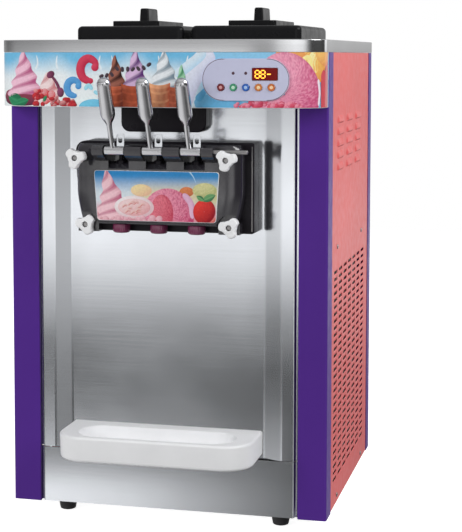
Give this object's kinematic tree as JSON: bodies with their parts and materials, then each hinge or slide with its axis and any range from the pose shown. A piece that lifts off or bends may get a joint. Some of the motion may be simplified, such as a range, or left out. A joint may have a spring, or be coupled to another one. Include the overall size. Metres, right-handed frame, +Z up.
{
  "type": "soft serve machine",
  "caption": "Counter-top soft serve machine: steel cabinet on corner columns, two lidded hoppers, bowed printed header, dispensing head with draw levers, white drip tray.",
  "frame": {"origin": "middle of the outer box in plan, on the plane that the feet stand on", "axes": "+Z up, front towards -Y, +X to the right as seen from the front"},
  "size_m": [0.545, 0.6449, 0.8645],
  "materials": {
    "stainless_steel": "brushed",
    "polished_steel": "polished",
    "purple_paint": "semi-gloss",
    "coral_paint": "semi-gloss",
    "black_plastic": "satin",
    "white_plastic": "gloss",
    "printed_film": "printed, gloss",
    "printed_plate": "printed, gloss",
    "lilac_plastic": "gloss",
    "display_glass": "gloss",
    "maroon_plastic": "gloss",
    "black_rubber": "matt",
    "dark_metal": "painted, matt",
    "aluminium": "raw",
    "button_maroon": "gloss",
    "button_green": "gloss",
    "button_blue": "gloss",
    "button_amber": "gloss",
    "button_orange": "gloss"
  },
  "bodies": {
    "root": {"chassis_base": "stainless_steel", "front_panel_upper": "stainless_steel", "front_panel_lower": "stainless_steel", "back_panel": "stainless_steel", "machine_shelf": "stainless_steel", "top_cover": "stainless_steel", "hopper_left": "stainless_steel", "hopper_right": "stainless_steel", "cylinder_left": "stainless_steel", "cylinder_right": "stainless_steel", "pivot_pin": "polished_steel", "column_front_left": "purple_paint", "column_front_right": "purple_paint", "column_rear_left": "purple_paint", "column_rear_right": "purple_paint", "side_panel_left": "coral_paint", "side_panel_right": "coral_paint", "switch_cover": "black_plastic", "head_backing": "black_plastic", "freezer_door": "black_plastic", "cable_gland": "black_plastic", "air_tube_left": "white_plastic", "air_tube_right": "white_plastic", "fascia": "printed_film", "decal_plate": "printed_plate", "control_panel": "lilac_plastic", "display_window": "display_glass", "nozzle_cap_left": "maroon_plastic", "nozzle_cap_centre": "maroon_plastic", "nozzle_cap_right": "maroon_plastic", "foot_front_left": "black_rubber", "foot_front_right": "black_rubber", "foot_rear_left": "black_rubber", "foot_rear_right": "black_rubber", "gear_motor_left": "dark_metal", "gear_motor_right": "dark_metal", "compressor": "dark_metal", "fan_motor": "dark_metal", "condenser": "aluminium"},
    "draw_lever_left": {"lever_left": "polished_steel"},
    "draw_valve_left": {"valve_left": "white_plastic"},
    "draw_lever_centre": {"lever_centre": "polished_steel"},
    "draw_valve_centre": {"valve_centre": "white_plastic"},
    "draw_lever_right": {"lever_right": "polished_steel"},
    "draw_valve_right": {"valve_right": "white_plastic"},
    "hand_nut_top_left": {"knob_top_left": "white_plastic"},
    "hand_nut_top_right": {"knob_top_right": "white_plastic"},
    "hand_nut_low_left": {"knob_low_left": "white_plastic"},
    "hand_nut_low_right": {"knob_low_right": "white_plastic"},
    "hopper_lid_left": {"lid_left": "black_plastic"},
    "hopper_lid_right": {"lid_right": "black_plastic"},
    "push_maroon": {"button_maroon": "button_maroon"},
    "push_green": {"button_green": "button_green"},
    "push_blue": {"button_blue": "button_blue"},
    "push_amber": {"button_amber": "button_amber"},
    "push_orange": {"button_orange": "button_orange"},
    "tray": {"drip_tray": "white_plastic"},
    "dasher_left": {"beater_left": "white_plastic"},
    "dasher_right": {"beater_right": "white_plastic"},
    "fan_rotor": {"fan": "dark_metal"}
  },
  "joints": [
    {"name": "lever_left_pull", "type": "hinge", "parent": "root", "child": "draw_lever_left", "pos_m": [-0.0632, -0.2661, 0.628], "axis": [1, 0, 0], "range_deg": [0, 40]},
    {"name": "valve_left_lift", "type": "slide", "parent": "root", "child": "draw_valve_left", "axis": [0, 0, 1], "range_m": [0, 0.027]},
    {"name": "lever_centre_pull", "type": "hinge", "parent": "root", "child": "draw_lever_centre", "pos_m": [0, -0.2661, 0.628], "axis": [1, 0, 0], "range_deg": [0, 40]},
    {"name": "valve_centre_lift", "type": "slide", "parent": "root", "child": "draw_valve_centre", "axis": [0, 0, 1], "range_m": [0, 0.027]},
    {"name": "lever_right_pull", "type": "hinge", "parent": "root", "child": "draw_lever_right", "pos_m": [0.0632, -0.2661, 0.628], "axis": [1, 0, 0], "range_deg": [0, 40]},
    {"name": "valve_right_lift", "type": "slide", "parent": "root", "child": "draw_valve_right", "axis": [0, 0, 1], "range_m": [0, 0.027]},
    {"name": "knob_top_left_turn", "type": "hinge", "parent": "root", "child": "hand_nut_top_left", "pos_m": [-0.1239, -0.2749, 0.616], "axis": [0, 1, 0], "continuous": true},
    {"name": "knob_top_right_turn", "type": "hinge", "parent": "root", "child": "hand_nut_top_right", "pos_m": [0.1239, -0.2749, 0.616], "axis": [0, 1, 0], "continuous": true},
    {"name": "knob_low_left_turn", "type": "hinge", "parent": "root", "child": "hand_nut_low_left", "pos_m": [-0.12, -0.2349, 0.5055], "axis": [0, 1, 0], "continuous": true},
    {"name": "knob_low_right_turn", "type": "hinge", "parent": "root", "child": "hand_nut_low_right", "pos_m": [0.12, -0.2349, 0.5055], "axis": [0, 1, 0], "continuous": true},
    {"name": "lid_left_lift", "type": "slide", "parent": "root", "child": "hopper_lid_left", "axis": [0, 0, 1], "range_m": [0, 0.12]},
    {"name": "lid_right_lift", "type": "slide", "parent": "root", "child": "hopper_lid_right", "axis": [0, 0, 1], "range_m": [0, 0.12]},
    {"name": "button_maroon_press", "type": "slide", "parent": "root", "child": "push_maroon", "axis": [-0.0635, 0.998, 0], "range_m": [0, 0.0012], "stiffness_N_per_m": 500},
    {"name": "button_green_press", "type": "slide", "parent": "root", "child": "push_green", "axis": [-0.0849, 0.9964, 0], "range_m": [0, 0.0012], "stiffness_N_per_m": 500},
    {"name": "button_blue_press", "type": "slide", "parent": "root", "child": "push_blue", "axis": [-0.111, 0.9938, 0], "range_m": [0, 0.0012], "stiffness_N_per_m": 500},
    {"name": "button_amber_press", "type": "slide", "parent": "root", "child": "push_amber", "axis": [-0.1436, 0.9896, 0], "range_m": [0, 0.0012], "stiffness_N_per_m": 500},
    {"name": "button_orange_press", "type": "slide", "parent": "root", "child": "push_orange", "axis": [-0.1861, 0.9825, 0], "range_m": [0, 0.0012], "stiffness_N_per_m": 500},
    {"name": "tray_pull", "type": "slide", "parent": "root", "child": "tray", "axis": [0, -1, 0], "range_m": [0, 0.12]},
    {"name": "beater_left_turn", "type": "hinge", "parent": "root", "child": "dasher_left", "pos_m": [-0.0667, -0.0871, 0.567], "axis": [0, 1, 0], "continuous": true},
    {"name": "beater_right_turn", "type": "hinge", "parent": "root", "child": "dasher_right", "pos_m": [0.0667, -0.0871, 0.567], "axis": [0, 1, 0], "continuous": true},
    {"name": "fan_turn", "type": "hinge", "parent": "root", "child": "fan_rotor", "pos_m": [0.19, 0.0564, 0.237], "axis": [1, 0, 0], "continuous": true}
  ],
  "couplings": [
    {"joint": "valve_left_lift", "follows": "lever_left_pull", "m_per_rad": 0.038},
    {"joint": "valve_centre_lift", "follows": "lever_centre_pull", "m_per_rad": 0.038},
    {"joint": "valve_right_lift", "follows": "lever_right_pull", "m_per_rad": 0.038}
  ]
}
